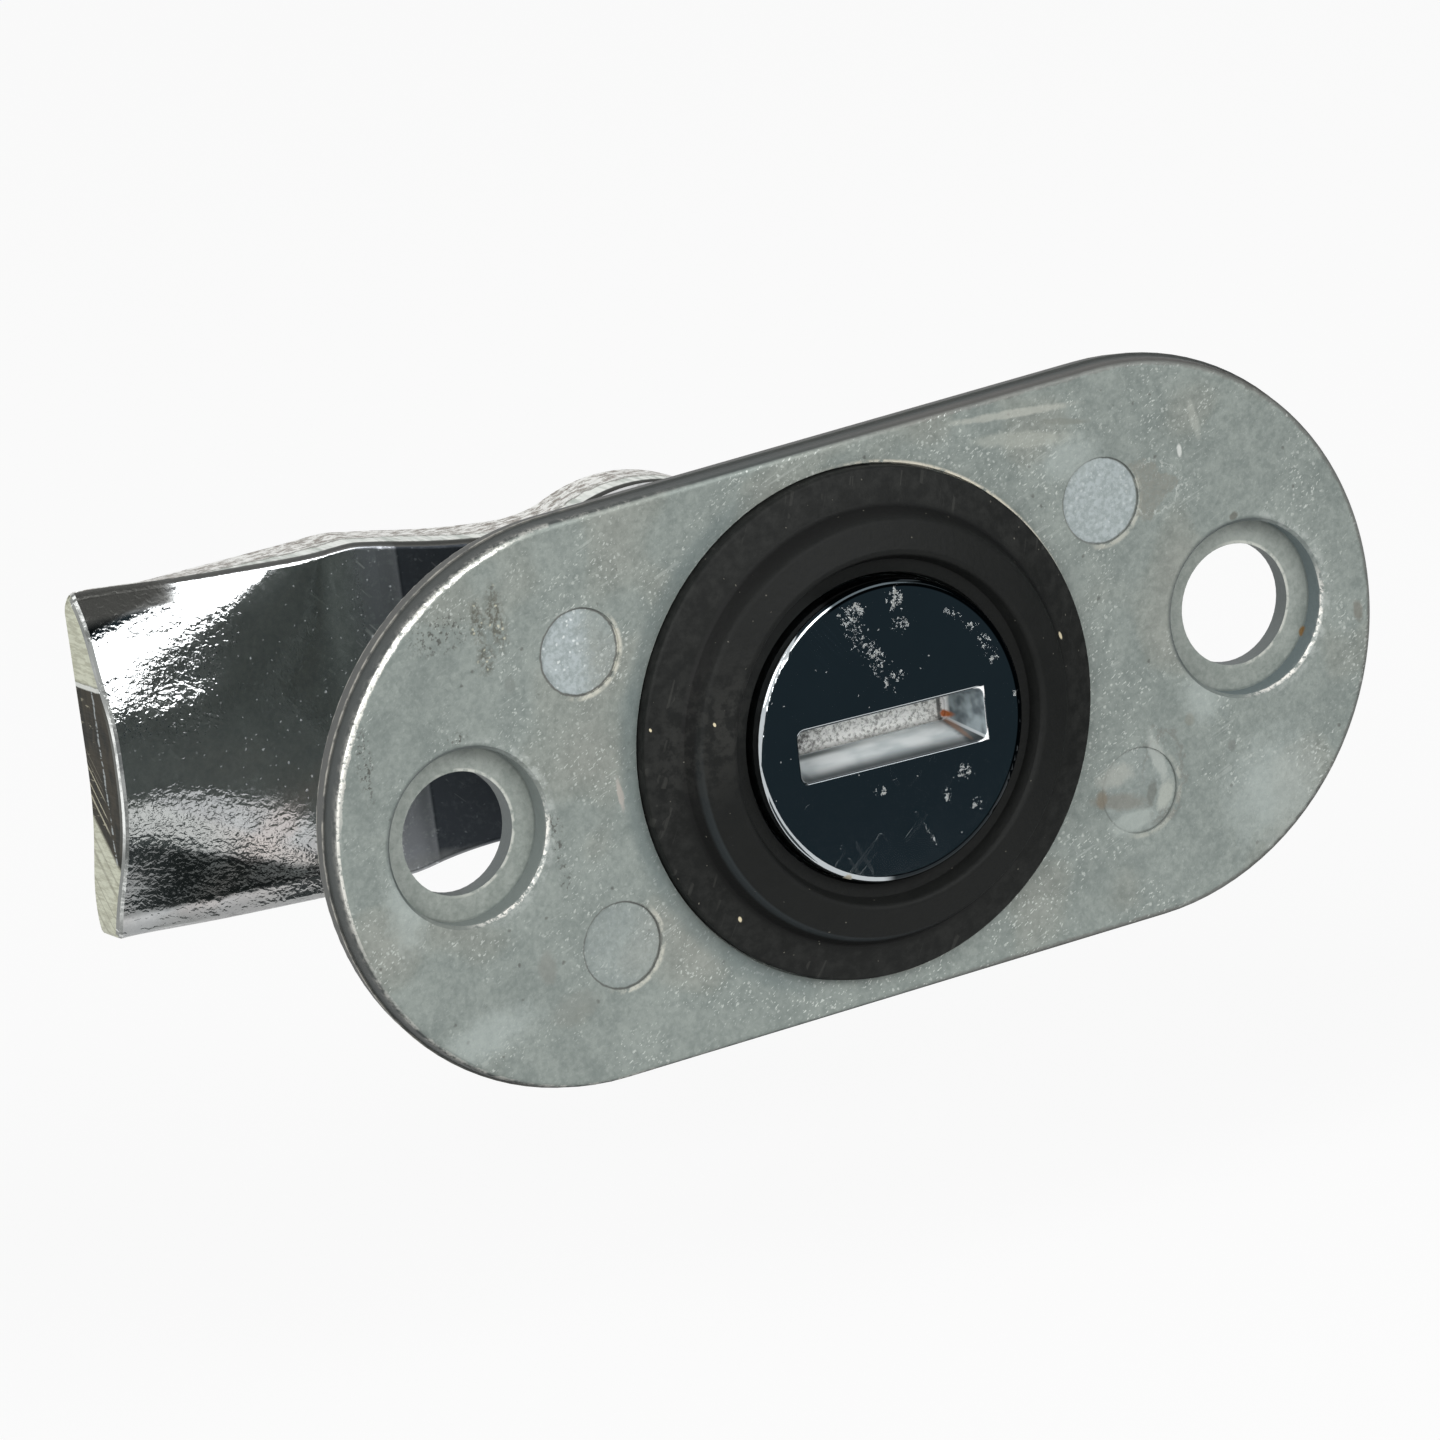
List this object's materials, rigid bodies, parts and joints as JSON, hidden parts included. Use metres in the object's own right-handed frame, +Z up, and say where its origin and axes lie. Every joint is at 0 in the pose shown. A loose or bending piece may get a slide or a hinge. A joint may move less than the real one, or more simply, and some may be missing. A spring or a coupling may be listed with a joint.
{
  "type": "quarter turn latch",
  "caption": "Quarter turn latch: oval flange plate, rubber seal ring, slotted chrome driver and a joggled steel tongue on a square tail.",
  "frame": {"origin": "where the driver axis meets the back face of the flange plate, which seats on the door, midway between the fixing holes", "axes": "+X along the plate away from the tongue, +Y into the panel along the driver axis, +Z up across the plate"},
  "size_m": [0.0752, 0.0407, 0.036],
  "materials": {
    "cast_zinc": "matt zinc die casting, weathered",
    "seal_rubber": "matt moulded rubber with dust",
    "chromed_driver": "polished chrome plating with pitting",
    "oring_rubber": "smooth nitrile rubber",
    "spring_steel": "oiled spring steel",
    "plated_steel": "bright zinc plated steel",
    "bright_zinc_tongue": "bright plated pressed steel, slight orange peel"
  },
  "bodies": {
    "housing_body": {"housing": "cast_zinc", "seal_ring": "seal_rubber", "wave_spring": "spring_steel"},
    "turning_body": {"driver_plug": "chromed_driver", "stem_oring": "oring_rubber", "stop_washer": "plated_steel", "cam": "bright_zinc_tongue", "plain_washer": "plated_steel", "lock_washer": "spring_steel", "cam_screw": "plated_steel"}
  },
  "joints": [
    {"name": "quarter_turn", "type": "hinge", "parent": "housing_body", "child": "turning_body", "pos_m": [0, 0, 0], "axis": [0, -1, 0], "range_deg": [0, 90]}
  ]
}
